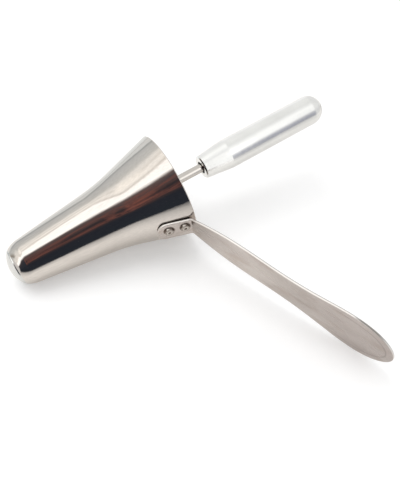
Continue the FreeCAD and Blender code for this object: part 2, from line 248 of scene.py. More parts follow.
def smooth_fall(tree, source, low, high):
    return maths(tree, "SUBTRACT", 1.0, smooth_step(tree, source, low, high))


def smooth_band(tree, source, low, full, still, high):
    """Rises from low to full, stays, and falls from still to high."""
    return multiply(tree, smooth_step(tree, source, low, full), smooth_fall(tree, source, still, high))


def glow(tree, colour, strength):
    values = {"Color": (*colour, 1.0), "Strength": strength}
    return add_node(tree, "ShaderNodeEmission", values).outputs[0]


def add_shaders(tree, first, second):
    return add_node(tree, "ShaderNodeAddShader", {0: first, 1: second}).outputs[0]


def mix_shaders(tree, factor, first, second):
    return add_node(tree, "ShaderNodeMixShader", {0: factor, 1: first, 2: second}).outputs[0]


def wear_noise(tree, vector, scale, detail):
    values = {"Vector": vector, "Scale": scale, "Detail": detail}
    return add_node(tree, "ShaderNodeTexNoise", values).outputs["Fac"]


# Room round the instrument
def add_camera():
    camera = bpy.data.objects.new("photo_camera", bpy.data.cameras.new("photo_camera"))
    bpy.context.scene.collection.objects.link(camera)
    camera.data.sensor_fit = "AUTO"
    camera.data.sensor_width = SENSOR
    camera.data.lens = FOCAL_PIXELS * SENSOR / PICTURE_HEIGHT
    camera.data.clip_start = 0.01
    camera.data.clip_end = 20.0
    turn = Matrix((CAMERA_RIGHT, -CAMERA_DOWN, -CAMERA_FORWARD)).transposed().to_4x4()
    camera.matrix_world = Matrix.Translation(CAMERA_PLACE * 0.001) @ turn
    bpy.context.scene.camera = camera


# What the metal sees, by its roll about the tube: (degrees from the back over the top, colour)
ROUND_TUBE = (
    (0, (0.56, 0.59, 0.60)), (5, (0.62, 0.65, 0.66)), (20, (0.72, 0.74, 0.745)),
    (28, (0.77, 0.79, 0.79)), (44, (0.83, 0.845, 0.83)),
    (48, (0.92, 0.925, 0.90)), (52, (1.19, 1.18, 1.14)), (56, (1.27, 1.25, 1.20)),
    (58, (1.10, 1.07, 1.01)), (60, (1.40, 1.38, 1.33)), (64, (1.38, 1.35, 1.29)),
    (66, (1.10, 1.06, 1.00)), (68, (1.14, 1.10, 1.04)), (71, (1.70, 1.70, 1.68)),
    (100, (1.80, 1.80, 1.78)),
    (105.5, (0.60, 0.57, 0.56)), (108, (0.17, 0.148, 0.148)), (114, (0.105, 0.092, 0.097)),
    (121, (0.092, 0.078, 0.080)), (130, (0.042, 0.038, 0.044)), (144, (0.045, 0.040, 0.045)),
    (152, (0.028, 0.032, 0.045)), (176, (0.028, 0.034, 0.046)), (230, (0.040, 0.045, 0.055)),
    (300, (0.30, 0.30, 0.30)), (345, (0.60, 0.64, 0.64)), (360, (0.56, 0.59, 0.60)),
)
# How strong the rusty streaks are in the dark side, over the same roll:
# beside the tube, and at its mouth
RUSTY_BESIDE = (
    (0, 0.0), (104, 0.0), (108, 0.12), (114, 0.20), (118, 0.45), (121, 0.48), (124, 0.28),
    (127, 0.09), (130, 0.04), (133, 0.07), (137, 0.48), (141, 0.55), (144, 0.18), (148, 0.0),
    (360, 0.0),
)
RUSTY_MOUTH = (
    (0, 0.0), (104, 0.0), (108, 0.30), (114, 0.50), (118, 0.40), (122, 0.75), (136, 0.85),
    (141, 0.75), (145, 0.25), (149, 0.0), (360, 0.0),
)
ROUND_FLARE = (
    (0, (0.78, 0.82, 0.81)), (14, (0.74, 0.76, 0.76)), (36, (0.88, 0.90, 0.88)),
    (44, (1.02, 1.02, 0.99)), (52, (1.16, 1.15, 1.10)), (70, (1.18, 1.15, 1.09)),
    (77, (1.22, 1.18, 1.12)), (84, (1.66, 1.66, 1.64)), (100, (1.80, 1.80, 1.78)),
    (106, (0.45, 0.43, 0.43)), (110, (0.085, 0.075, 0.085)), (122, (0.050, 0.050, 0.062)),
    (145, (0.034, 0.040, 0.054)), (176, (0.026, 0.032, 0.042)), (230, (0.040, 0.045, 0.055)),
    (300, (0.30, 0.30, 0.30)), (345, (0.75, 0.79, 0.78)), (360, (0.78, 0.82, 0.81)),
)
ROUND_MIDDLE = (
    (0, (0.93, 0.93, 0.93)), (20, (0.98, 0.98, 0.97)), (36, (1.00, 1.00, 0.98)),
    (52, (1.10, 1.10, 1.08)), (67, (1.25, 1.25, 1.23)), (83, (1.20, 1.20, 1.18)),
    (99, (1.06, 1.06, 1.05)), (110, (1.06, 1.06, 1.05)), (119, (1.30, 1.30, 1.28)),
    (126, (1.90, 1.90, 1.88)), (150, (2.00, 2.00, 1.98)), (164, (1.55, 1.55, 1.53)),
    (180, (1.50, 1.50, 1.48)), (194, (1.62, 1.60, 1.55)), (210, (1.45, 1.40, 1.34)),
    (225, (1.20, 1.16, 1.12)), (270, (0.90, 0.90, 0.88)), (360, (0.93, 0.93, 0.93)),
)
ROUND_GRIP = (
    (0, (1.15, 1.15, 1.14)), (17, (1.05, 1.05, 1.05)), (33, (0.99, 0.99, 0.97)),
    (50, (1.00, 1.00, 0.98)), (66, (0.96, 0.96, 0.94)), (82, (0.92, 0.92, 0.90)),
    (98, (1.03, 1.03, 1.02)), (112, (1.24, 1.24, 1.22)), (150, (1.18, 1.18, 1.17)),
    (160, (0.72, 0.72, 0.74)), (170, (0.47, 0.475, 0.54)), (184, (0.41, 0.42, 0.48)),
    (196, (0.31, 0.32, 0.35)), (214, (0.42, 0.42, 0.42)), (270, (0.60, 0.60, 0.58)),
    (330, (1.01, 1.01, 1.01)), (360, (1.15, 1.15, 1.14)),
)

# Single colours of the room and of the table, as the metal sees them
LOW_WALL = (0.94, 0.985, 0.985)
LOW_WALL_LINE = (0.52, 0.545, 0.55)
BEFORE_WHITE = (1.52, 1.48, 1.40)
RUST = (0.27, 0.105, 0.085)
CONE_WHITE = (1.26, 1.26, 1.24)
PALE_GREY = (0.90, 0.90, 0.89)
DULL_BROWN = (0.46, 0.43, 0.38)
TABLE_WARM = (0.94, 0.922, 0.893)
TABLE_COOL = (0.78, 0.82, 0.825)
# The stretch over which the table fades for the metal, in metres
TABLE_LEFT = -0.150
TABLE_RANGE = 0.400


# In the room, reach goes along the tube's axis, from -1 at the tip's end to 1 at the grip's end,
# and turn is the roll about that axis, from 0 to 1
def around(tree, turn, stops):
    return ramp(tree, turn, [(degrees / 360.0, colour) for degrees, colour in stops])


def bent_turn(tree, turn, reach):
    """Shifts the roll, so that edges in the room slant or bend along the tube."""
    # The dark side's upper edge comes down towards the tip's end of the room
    near, far = shortfall(tree, -0.22, reach, 0.060), shortfall(tree, -0.62, reach, 0.20)
    lean = multiply(tree, maths(tree, "ADD", near, far), smooth_fall(tree, turn, 0.42, 0.50))
    # The white ceiling's back edge slants, so it bends where the tube opens out
    slant = maths(tree, "MINIMUM", shortfall(tree, -0.17, reach, 0.25), 0.050)
    rise = maths(tree, "DIVIDE", maths(tree, "SUBTRACT", turn, 0.135), 0.075, clamp=True)
    fall = maths(tree, "DIVIDE", maths(tree, "SUBTRACT", 0.288, turn), 0.030, clamp=True)
    slant = multiply(tree, slant, rise, fall, smooth_step(tree, reach, -0.62, -0.46))
    return maths(tree, "SUBTRACT", turn, maths(tree, "ADD", lean, slant))


def tube_tones(tree, turn, reach):
    """What the tube's cone sees, but for the rusty streaks."""
    tones = around(tree, turn, ROUND_TUBE)
    # The low wall behind is lighter, up to a dark slanting line
    line = maths(tree, "ADD", multiply(tree, reach, 0.50), 0.087)
    signed = maths(tree, "SUBTRACT", maths(tree, "FRACT", maths(tree, "ADD", turn, 0.5)), 0.5)
    beyond = maths(tree, "SUBTRACT", signed, line)
    wall = smooth_fall(tree, beyond, -0.013, -0.001)
    wall = multiply(tree, wall, smooth_step(tree, signed, -0.10, -0.02))
    tones = blend_colour(tree, wall, tones, LOW_WALL)
    mark = multiply(tree, smooth_band(tree, beyond, -0.007, 0.001, 0.002, 0.040), 0.90)
    tones = blend_colour(tree, mark, tones, LOW_WALL_LINE)
    # Brighter just before the white, where the tube opens out
    brighter = smooth_band(tree, turn, 0.130, 0.145, 0.166, 0.178)
    brighter = multiply(tree, brighter, smooth_fall(tree, reach, -0.34, -0.28))
    return blend_colour(tree, brighter, tones, BEFORE_WHITE)


def rusty_share(tree, turn, reach):
    """How rusty the dark side is: streaks, long and broken."""
    across = maths(tree, "ADD", multiply(tree, turn, 105.0), multiply(tree, reach, 7.0))
    space = add_node(tree, "ShaderNodeCombineXYZ", {0: across, 1: multiply(tree, reach, 16.0)})
    broken = ranged(tree, wear_noise(tree, space.outputs[0], 1.0, 2.0), 0.25, 1.55, 0.36, 0.62)
    beside = smooth_step(tree, reach, -0.42, -0.365)
    at_mouth = around(tree, turn, RUSTY_MOUTH)
    share = blend_colour(tree, beside, at_mouth, around(tree, turn, RUSTY_BESIDE))
    # They close up into one patch near the tube's tip
    patch = smooth_band(tree, reach, -0.350, -0.275, -0.270, -0.215)
    patch = multiply(tree, patch, smooth_band(tree, turn, 0.332, 0.345, 0.371, 0.381), 0.42)
    share = multiply(tree, maths(tree, "ADD", share, patch), broken)
    return maths(tree, "MULTIPLY", share, smooth_step(tree, reach, -0.445, -0.425), clamp=True)


def light_room():
    """A white room for the eye; the metal sees a bright ceiling, a dark side and a white table."""
    world = bpy.data.worlds.new("photo_table")
    bpy.context.scene.world = world
    world.use_nodes = True
    tree = world.node_tree
    tree.nodes.clear()
    direction = add_node(tree, "ShaderNodeTexCoord").outputs["Generated"]

    def along(axis):
        values = {0: direction, 1: axis}
        node = add_node(tree, "ShaderNodeVectorMath", values, operation="DOT_PRODUCT")
        return node.outputs["Value"]

    reach = along(ALONG)
    angle = maths(tree, "ARCTAN2", along(UP_OFF_TUBE), along(SIDE_OFF_TUBE))
    plain_turn = maths(tree, "FRACT", maths(tree, "DIVIDE", angle, 2 * math.pi))
    turn = bent_turn(tree, plain_turn, reach)

    tube = tube_tones(tree, turn, reach)
    tube = blend_colour(tree, rusty_share(tree, turn, reach), tube, RUST)
    flare = around(tree, turn, ROUND_FLARE)
    seen = blend_colour(tree, smooth_step(tree, reach, -0.89, -0.85), PALE_GREY, flare)
    # A dull brown corner high up at the tip's end
    corner = smooth_band(tree, reach, -0.82, -0.76, -0.76, -0.60)
    corner = multiply(tree, corner, smooth_band(tree, plain_turn, 0.04, 0.11, 0.16, 0.22))
    seen = blend_colour(tree, corner, seen, DULL_BROWN)
    seen = blend_colour(tree, smooth_step(tree, reach, -0.50, -0.40), seen, tube)
    # The grip's coned front sees a white that doesn't burn out
    for_cone = smooth_fall(tree, reach, 0.15, 0.24)
    middle = around(tree, turn, ROUND_MIDDLE)
    middle = blend_colour(tree, for_cone, middle, CONE_WHITE, "DARKEN")
    seen = blend_colour(tree, smooth_step(tree, reach, -0.09, 0.02), seen, middle)
    # The white window over the rod reaches further towards the grip than the rest
    window = smooth_band(tree, turn, 0.31, 0.35, 0.43, 0.49)
    change, late_change = smooth_step(tree, reach, 0.13, 0.36), smooth_step(tree, reach, 0.27, 0.37)
    change = blend_colour(tree, window, change, late_change)
    seen = blend_colour(tree, change, seen, around(tree, turn, ROUND_GRIP))
    # An even pale grey beyond the grip's round end
    grip_end = multiply(tree, smooth_step(tree, reach, 0.46, 0.66), 0.85)
    seen = blend_colour(tree, grip_end, seen, PALE_GREY)

    paths = add_node(tree, "ShaderNodeLightPath").outputs
    glossy = maths(tree, "MAXIMUM", paths["Is Glossy Ray"], paths["Is Transmission Ray"])
    # Plain fill for dull surfaces, full white for the camera
    full = maths(tree, "MAXIMUM", paths["Is Camera Ray"], glossy)
    background = add_node(tree, "ShaderNodeBackground", {
        "Color": blend_colour(tree, glossy, (1.0, 1.0, 1.0), seen),
        "Strength": ranged(tree, full, 0.75, 1.0, 0.0, 1.0),
    })
    add_node(tree, "ShaderNodeOutputWorld", {0: background.outputs[0]})


def table_material():
    """White table: its shadows stay, and the metal sees it give way to the room in front."""
    material = bpy.data.materials.new("white_table")
    material.use_nodes = True
    tree = material.node_tree
    tree.nodes.clear()
    dull = add_node(tree, "ShaderNodeBsdfDiffuse", {"Color": (0.86, 0.86, 0.86, 1.0)}).outputs[0]
    eye_sees = add_shaders(tree, dull, glow(tree, (1.0, 1.0, 1.0), 0.22))

    # For the metal: a slightly warm white, which fades out in front of the instrument
    position = add_node(tree, "ShaderNodeNewGeometry").outputs["Position"]
    place = add_node(tree, "ShaderNodeSeparateXYZ", {0: position})
    x, y = place.outputs["X"], place.outputs["Y"]
    grip_side = smooth_step(tree, x, 0.0, 0.07)
    behind = multiply(tree, smooth_step(tree, y, 0.06, 0.22), maths(tree, "SUBTRACT", 1.0, grip_side))
    white = blend_colour(tree, behind, TABLE_WARM, TABLE_COOL)
    warm = add_node(tree, "ShaderNodeBsdfDiffuse", {"Color": white}).outputs[0]
    lit = add_shaders(tree, warm, glow(tree, (1.0, 0.985, 0.955), 0.15))
    # A shade under the grip, deeper right below it
    broad = multiply(tree, smooth_step(tree, y, -0.06, -0.02), 0.11)
    deep = multiply(tree, smooth_step(tree, y, 0.040, 0.072), 0.20)
    shade = multiply(tree, maths(tree, "ADD", broad, deep), smooth_fall(tree, y, 0.09, 0.15), grip_side)
    metal_sees = mix_shaders(tree, shade, lit, glow(tree, (1.0, 1.0, 1.0), 0.0))
    # Where the fading starts and how fast it goes, from the table's left to its right
    sideways = maths(tree, "SUBTRACT", x, TABLE_LEFT)
    sideways = maths(tree, "DIVIDE", sideways, TABLE_RANGE, clamp=True)
    rate = ramp(tree, sideways, (
        (0.0, 6.0), (0.05, 4.5), (0.10, 2.3), (0.125, 1.9), (0.157, 1.5), (0.1875, 1.27),
        (0.225, 1.22), (0.375, 1.05), (0.45, 0.95), (0.52, 1.45), (0.60, 1.45), (0.70, 1.0),
        (0.875, 0.5),
    ))
    start = ramp(tree, sideways, (
        (0.0, 0.065), (0.05, 0.056), (0.125, 0.045), (0.15, 0.036), (0.175, 0.013), (0.20, 0.0),
    ))
    ahead = shortfall(tree, start, y, rate)
    gone = ramp(tree, maths(tree, "DIVIDE", ahead, TABLE_RANGE, clamp=True), (
        (0.0, 0.0), (0.02, 0.035), (0.052, 0.12), (0.108, 0.23), (0.15, 0.32),
        (0.23, 0.41), (0.375, 0.70), (0.60, 0.82), (1.0, 1.0),
    ))
    clear = add_node(tree, "ShaderNodeBsdfTransparent").outputs[0]
    glossy = add_node(tree, "ShaderNodeLightPath").outputs["Is Glossy Ray"]
    seen = mix_shaders(tree, glossy, eye_sees, mix_shaders(tree, gone, metal_sees, clear))
    add_node(tree, "ShaderNodeOutputMaterial", {0: seen})
    return material


def add_table():
    half = 4.0
    mesh = bpy.data.meshes.new("table_top")
    corners = [(-half, -half, 0), (half, -half, 0), (half, half, 0), (-half, half, 0)]
    mesh.from_pydata(corners, [], [(0, 1, 2, 3)])
    mesh.materials.append(table_material())
    table = bpy.data.objects.new("table_top", mesh)
    bpy.context.scene.collection.objects.link(table)


def add_lamp(name, place, aim, width, power):
    lamp = bpy.data.objects.new(name, bpy.data.lights.new(name, "AREA"))
    lamp.data.shape = "DISK"
    lamp.data.size = width
    lamp.data.energy = power
    bpy.context.scene.collection.objects.link(lamp)
    lamp.location = place
    lamp.rotation_euler = (Vector(aim) - Vector(place)).to_track_quat("-Z", "Y").to_euler()
    lamp.visible_glossy = False


# Metals
def along_noise(tree, size, detail):
    """Noise along the tube's axis and across it, its size in metres."""
    turned = add_node(tree, "ShaderNodeMapping", {
        "Vector": add_node(tree, "ShaderNodeTexCoord").outputs["Object"],
        "Location": TIP_CENTRE * 0.001,
        "Rotation": INSTRUMENT.to_3x3().normalized().to_euler(),
        "Scale": size,
    }, vector_type="TEXTURE")
    return wear_noise(tree, turned.outputs["Vector"], 1.0, detail)


def strap_noise(tree, strap_map, scale, detail):
    """Noise along the flat strap and across it, its scale per metre."""
    space = add_node(tree, "ShaderNodeMapping", {"Vector": strap_map, "Scale": (*scale, 1.0)})
    return wear_noise(tree, space.outputs["Vector"], 1.0, detail)


def marks(tree, name):
    return add_node(tree, "ShaderNodeAttribute", attribute_name=name).outputs["Fac"]


def start_metal(name):
    material = bpy.data.materials.new(name)
    material.use_nodes = True
    tree = material.node_tree
    surface = tree.nodes["Principled BSDF"]
    surface.inputs["Metallic"].default_value = 1.0
    return material, tree, surface


def finish_metal(tree, surface, colour, roughness, height, strength, distance):
    values = {"Height": height, "Strength": strength, "Distance": distance}
    join(tree, colour, surface.inputs["Base Color"])
    join(tree, roughness, surface.inputs["Roughness"])
    join(tree, add_node(tree, "ShaderNodeBump", values).outputs["Normal"], surface.inputs["Normal"])


def polished_steel():
    """Bright steel, polished along the tube, with faint long streaks and a little haze."""
    material, tree, surface = start_metal("polished_steel")
    streaks = along_noise(tree, (0.090, 0.0022, 0.0022), 2.0)
    fine = along_noise(tree, (0.060, 0.0005, 0.0005), 2.0)
    haze = ranged(tree, along_noise(tree, (0.03, 0.02, 0.02), 4.0), 0.0, 1.0)
    waves = along_noise(tree, (0.022, 0.014, 0.014), 0.0)
    colour = blend_colour(tree, haze, (0.61, 0.572, 0.538), (0.655, 0.616, 0.582))
    colour = tinted(tree, colour, ranged(tree, fine, 0.93, 1.02, 0.32, 0.68))
    height = maths(tree, "ADD", multiply(tree, fine, 0.10), multiply(tree, streaks, 0.7))
    height = maths(tree, "ADD", height, multiply(tree, waves, 5.0))
    finish_metal(tree, surface, colour, ranged(tree, streaks, 0.02, 0.06), height, 1.0, 0.000022)
    return material


def satin_steel():
    """The strap's steel: brushed along the blade, a warmer and duller grey, darker partly as painted
    shade for the shaded table under the blade.
    """
    material, tree, surface = start_metal("satin_steel")
    strap_map = add_node(tree, "ShaderNodeUVMap", uv_map="strap").outputs["UV"]
    brushed = strap_noise(tree, strap_map, (60.0, 3200.0), 3.0)
    cloud = ranged(tree, strap_noise(tree, strap_map, (40.0, 90.0), 4.0), 0.0, 1.0)
    stain = strap_noise(tree, strap_map, (55.0, 170.0), 4.0)
    # These greys are partly the steel's own and partly painted shade, standing in for the shaded table
    # the blade sees
    colour = blend_colour(tree, cloud, (0.51, 0.460, 0.435), (0.61, 0.560, 0.532))
    # Towards its end the blade's colour is a little brighter
    along = add_node(tree, "ShaderNodeSeparateXYZ", {0: strap_map})
    brighter_end = ranged(tree, along.outputs["X"], 0.0, 1.0, 0.055, 0.085)
    colour = blend_colour(tree, brighter_end, colour, tinted(tree, colour, (1.16, 1.15, 1.16)))
    stained = tinted(tree, colour, (0.84, 0.78, 0.74))
    colour = blend_colour(tree, ranged(tree, stain, 0.0, 0.8, 0.50, 0.72), colour, stained)
    lined = tinted(tree, colour, (0.66, 0.64, 0.63))
    colour = blend_colour(tree, marks(tree, "ground_border"), colour, lined)
    # A dark ring round each rivet's head: painted contact shade where it sits on the strap, together
    # with grime
    for setback in (RIVET_SETBACK, RIVET_SETBACK + RIVET_PITCH):
        values = {0: strap_map, 1: Vector((-setback, RIVET_OFFSET, 0.0)) * 0.001}
        away = add_node(tree, "ShaderNodeVectorMath", values, operation="DISTANCE")
        ring = smooth_fall(tree, away.outputs["Value"], 0.0024, 0.0030)
        ring = multiply(tree, ring, ranged(tree, stain, 0.4, 0.95))
        colour = blend_colour(tree, ring, colour, (0.20, 0.155, 0.125))
    # Painted highlight along the strap's edges up to a mark of 1, painted shade past 1
    edge_light = marks(tree, "edge_highlight_and_shade")
    bright = maths(tree, "MULTIPLY", edge_light, 1.0, clamp=True)
    colour = blend_colour(tree, bright, colour, (0.90, 0.87, 0.84))
    dull = maths(tree, "SUBTRACT", edge_light, 1.0, clamp=True)
    colour = blend_colour(tree, dull, colour, (0.20, 0.18, 0.17))
    rough = maths(tree, "ADD", ranged(tree, brushed, 0.22, 0.34), multiply(tree, bright, 0.16))
    finish_metal(tree, surface, colour, rough, brushed, 0.25, 0.00002)
    return material


def rod_steel():
    """The rod: drawn steel with fine turning marks round it."""
    material, tree, surface = start_metal("rod_steel")
    rings = along_noise(tree, (0.0003, 0.02, 0.02), 2.0)
    cloud = ranged(tree, along_noise(tree, (0.02, 0.004, 0.004), 3.0), 0.0, 1.0)
    colour = blend_colour(tree, cloud, (0.51, 0.48, 0.45), (0.58, 0.55, 0.52))
    finish_metal(tree, surface, colour, ranged(tree, rings, 0.08, 0.14), rings, 0.2, 0.00001)
    return material


def rivet_steel():
    """Rivet heads: satin on top, brown and dull in the dimple and down the flank."""
    material, tree, surface = start_metal("rivet_steel")
    coordinates = add_node(tree, "ShaderNodeTexCoord").outputs["Object"]
    cloud = wear_noise(tree, coordinates, 1600.0, 3.0)
    grime = marks(tree, "grime")
    grime = maths(tree, "MULTIPLY", grime, ranged(tree, cloud, 0.7, 1.1), clamp=True)
    colour = blend_colour(tree, grime, (0.64, 0.60, 0.56), (0.13, 0.095, 0.075))
    rough = maths(tree, "ADD", multiply(tree, grime, 0.30), 0.18)
    finish_metal(tree, surface, colour, rough, cloud, 0.3, 0.00003)
    return material


def turned_aluminium(name, dull, bright):
    """Satin turned aluminium with fine rings from the lathe."""
    material, tree, surface = start_metal(name)
    rings = along_noise(tree, (0.0004, 0.05, 0.05), 2.0)
    cloud = ranged(tree, along_noise(tree, (0.012, 0.006, 0.006), 3.0), 0.0, 1.0)
    colour = blend_colour(tree, cloud, dull, bright)
    waves = along_noise(tree, (0.006, 0.005, 0.005), 1.0)
    height = maths(tree, "ADD", rings, multiply(tree, waves, 12.0))
    finish_metal(tree, surface, colour, ranged(tree, rings, 0.13, 0.22), height, 0.22, 0.000012)
    return material


# Turned pieces
def run_points(start, end, step=1.0):
    """Points of a straight run without its start, with a close pair at each end to hold its shading."""
    start, end = Vector(start), Vector(end)
    length = (end - start).length
    hold = min(0.05, length / 4)
    steps = max(1, round((length - 2 * hold) / step))
    places = [hold + (length - 2 * hold) * index / steps for index in range(steps + 1)] + [length]
    return [start.lerp(end, place / length) for place in places]


def arc_points(centre, radius, first, last, count):
    """Points of an arc without its start; angles in radians from +X."""
    points = []
    for index in range(1, count + 1):
        angle = first + (last - first) * index / count
        points.append(Vector((
            centre[0] + radius * math.cos(angle),
            centre[1] + radius * math.sin(angle),
        )))
    return points


def rounded_corner(before, corner, after, radius, count=5):
    """Points of a small round in a corner of a profile, its start and end among them."""
    before, corner, after = Vector(before), Vector(corner), Vector(after)
    inward, outward = (before - corner).normalized(), (after - corner).normalized()
    half = math.acos(max(-1.0, min(1.0, inward.dot(outward)))) / 2
    back = radius / math.tan(half)
    start, end = corner + inward * back, corner + outward * back
    centre = corner + (inward + outward).normalized() * (radius / math.sin(half))
    first = math.atan2(start.y - centre.y, start.x - centre.x)
    last = math.atan2(end.y - centre.y, end.x - centre.x)
    sweep = (last - first + math.pi) % (2 * math.pi) - math.pi
    return [start] + arc_points(centre, radius, first, first + sweep, count)


def profile_line(corners, step=1.0):
    """Runs a profile through its corners, each (x, y, round); a round of 0 keeps it sharp."""
    line = []
    for index, (x, y, radius) in enumerate(corners):
        if radius > 0:
            before, after = corners[index - 1], corners[index + 1]
            points = rounded_corner(before[:2], (x, y), after[:2], radius)
        else:
            points = [Vector((x, y))]
        if line:
            line += run_points(line[-1], points[0], step)
            points = points[1:]
        line += points
    return line


def curl_centre():
    """The middle of the curl at the tube's tip."""
    height = KNEE_RADIUS - (KNEE_STATION - CURL_LENGTH) * math.tan(CONE_SLOPE)
    return Vector((CURL_LENGTH, height)) - CONE_OUT * CURL_RADIUS


def tube_line():
    """The wall's closed profile: outside from the rim to the lip, and back along the inside."""
    centre = curl_centre()
    reach = KNEE_BLEND * math.tan((FLARE_SLOPE - CONE_SLOPE) / 2)
    knee = Vector((KNEE_STATION, KNEE_RADIUS))
    flare_way = Vector((math.cos(FLARE_SLOPE), math.sin(FLARE_SLOPE)))
    blend_centre = knee - CONE_WAY * reach + CONE_OUT * KNEE_BLEND

    def knee_end(way, sign, depth):
        return knee + way * reach * sign + Vector((way.y, -way.x)) * depth

    inner_radius = CURL_RADIUS - WALL
    inner_mouth = MOUTH_RADIUS - WALL / math.cos(FLARE_SLOPE)
    rim = Vector((TUBE_LENGTH, MOUTH_RADIUS))
    inner_rim = Vector((TUBE_LENGTH, inner_mouth))
    outer_knee, inner_knee = knee_end(flare_way, 1, 0), knee_end(flare_way, 1, WALL)

    line = rounded_corner(inner_rim, rim, outer_knee, RIM_ROUND, 6)
    line += run_points(line[-1], outer_knee)
    flare_angle = math.atan2(outer_knee.y - blend_centre.y, outer_knee.x - blend_centre.x)
    cone_angle = -math.pi / 2 + CONE_SLOPE
    line += arc_points(blend_centre, KNEE_BLEND, flare_angle, cone_angle, 18)
    line += run_points(line[-1], centre + CONE_OUT * CURL_RADIUS)
    first = math.pi / 2 + CONE_SLOPE
    tip_height = centre.y + math.sqrt(CURL_RADIUS ** 2 - centre.x ** 2)
    last = math.atan2(tip_height - centre.y, -centre.x)
    curl = arc_points(centre, CURL_RADIUS, first, last, 24)
    bore_x = centre.x - math.sqrt(inner_radius ** 2 - (TIP_BORE - centre.y) ** 2)
    tip, bore, bore_end = Vector((0, tip_height)), Vector((0, TIP_BORE)), Vector((bore_x, TIP_BORE))
    line += curl[:-1]
    line += rounded_corner(curl[-2], tip, bore, LIP_ROUND, 4)
    line += rounded_corner(tip, bore, bore_end, LIP_ROUND, 4)
    line += run_points(line[-1], bore_end, 0.3)
    inner_first = math.atan2(TIP_BORE - centre.y, bore_x - centre.x)
    line += arc_points(centre, inner_radius, inner_first, first, 22)
    line += run_points(line[-1], knee_end(CONE_WAY, -1, WALL))
    line += arc_points(blend_centre, KNEE_BLEND + WALL, cone_angle, flare_angle, 18)
    inner_round = rounded_corner(inner_knee, inner_rim, rim, RIM_ROUND, 6)
    line += run_points(line[-1], inner_round[0])
    line += inner_round[1:]
    line += run_points(line[-1], line[0])
    return line


def start_rule(name, inputs, output):
    """A Geometry Nodes tree with named inputs, and its input and output nodes."""
    tree = bpy.data.node_groups.new(name, "GeometryNodeTree")
    for label, kind in inputs.items():
        tree.interface.new_socket(label, in_out="INPUT", socket_type=f"NodeSocket{kind}")
    tree.interface.new_socket(output, in_out="OUTPUT", socket_type="NodeSocketGeometry")
    return tree, add_node(tree, "NodeGroupInput"), add_node(tree, "NodeGroupOutput")


def end_rule(tree, given, result, shape):
    """Realizes the instances and gives the shape its metal."""
    real = add_node(tree, "GeometryNodeRealizeInstances", {0: shape.outputs[0]})
    values = {"Geometry": real.outputs[0], "Material": given.outputs["Metal"]}
    join(tree, add_node(tree, "GeometryNodeSetMaterial", values).outputs[0], result.inputs[0])


def lathe_tree():
    """Geometry Nodes that turn a profile line round its X axis: a grid whose rows follow the line."""
    tree, given, result = start_rule("turn_on_lathe", {
        "Profile": "Geometry",
        "Points in profile": "Int",
        "Steps round": "Int",
        "Metal": "Material",
    }, "Turned")
    steps = given.outputs["Steps round"]
    columns = maths(tree, "ADD", steps, 1.0)
    grid = add_node(tree, "GeometryNodeMeshGrid", {
        "Vertices X": given.outputs["Points in profile"],
        "Vertices Y": columns,
    })
    index = add_node(tree, "GeometryNodeInputIndex").outputs[0]
    row = maths(tree, "FLOOR", maths(tree, "DIVIDE", maths(tree, "ADD", index, 0.5), columns))
    column = maths(tree, "SUBTRACT", index, multiply(tree, row, columns))
    sample = add_node(tree, "GeometryNodeSampleIndex", data_type="FLOAT_VECTOR")
    join(tree, given.outputs["Profile"], sample.inputs["Geometry"])
    join(tree, add_node(tree, "GeometryNodeInputPosition").outputs[0], sample.inputs["Value"])
    join(tree, row, sample.inputs["Index"])
    turn = add_node(tree, "ShaderNodeVectorRotate", {
        "Vector": sample.outputs[0],
        "Angle": maths(tree, "DIVIDE", multiply(tree, column, 2 * math.pi), steps),
    }, rotation_type="X_AXIS")
    put = add_node(tree, "GeometryNodeSetPosition", {
        "Geometry": grid.outputs["Mesh"],
        "Position": turn.outputs[0],
    })
    values = {"Geometry": put.outputs[0], "Distance": 0.002}
    weld = add_node(tree, "GeometryNodeMergeByDistance", values)
    smooth = add_node(tree, "GeometryNodeSetShadeSmooth", {0: weld.outputs[0]})
    end_rule(tree, given, result, smooth)
    return tree


def input_names(tree):
    return {
        item.name: item.identifier
        for item in tree.interface.items_tree
        if item.item_type == "SOCKET" and item.in_out == "INPUT"
    }


def bake(name, source, tree, values, place):
    """Runs the tree on a new mesh object and keeps the result as a plain mesh, in its place."""
    worker = bpy.data.objects.new(f"{name}_worker", source)
    bpy.context.scene.collection.objects.link(worker)
    modifier = worker.modifiers.new("rule", "NODES")
    modifier.node_group = tree
    names = input_names(tree)
    for label, value in values.items():
        modifier[names[label]] = value
    bpy.context.view_layer.update()
    graph = bpy.context.evaluated_depsgraph_get()
    mesh = bpy.data.meshes.new_from_object(worker.evaluated_get(graph), depsgraph=graph)
    worker.modifiers.remove(modifier)
    bpy.data.objects.remove(worker)
    mesh.name = name
    mesh.transform(place)
    piece = bpy.data.objects.new(name, mesh)
    bpy.context.scene.collection.objects.link(piece)
    return piece


def make_outward(mesh):
    """Closed meshes only: turns the faces over when the enclosed volume comes out negative."""
    mesh.calc_loop_triangles()
    volume = 0.0
    for triangle in mesh.loop_triangles:
        a, b, c = (mesh.vertices[index].co for index in triangle.vertices)
        volume += a.dot(b.cross(c))
    if volume < 0:
        mesh.flip_normals()
    mesh.update()


def finish_piece(piece, body, slot, *nodes):
    make_outward(piece.data)
    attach(piece, body)
    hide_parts(*nodes)


def turned_piece(name, line, metal, steps, place):
    profile = bpy.data.meshes.new(f"{name}_profile")
    profile.from_pydata([(point.x, 0.0, point.y) for point in line], [], [])
    values = {"Points in profile": len(line), "Steps round": steps, "Metal": metal}
    return bake(name, profile, LATHE, values, place)


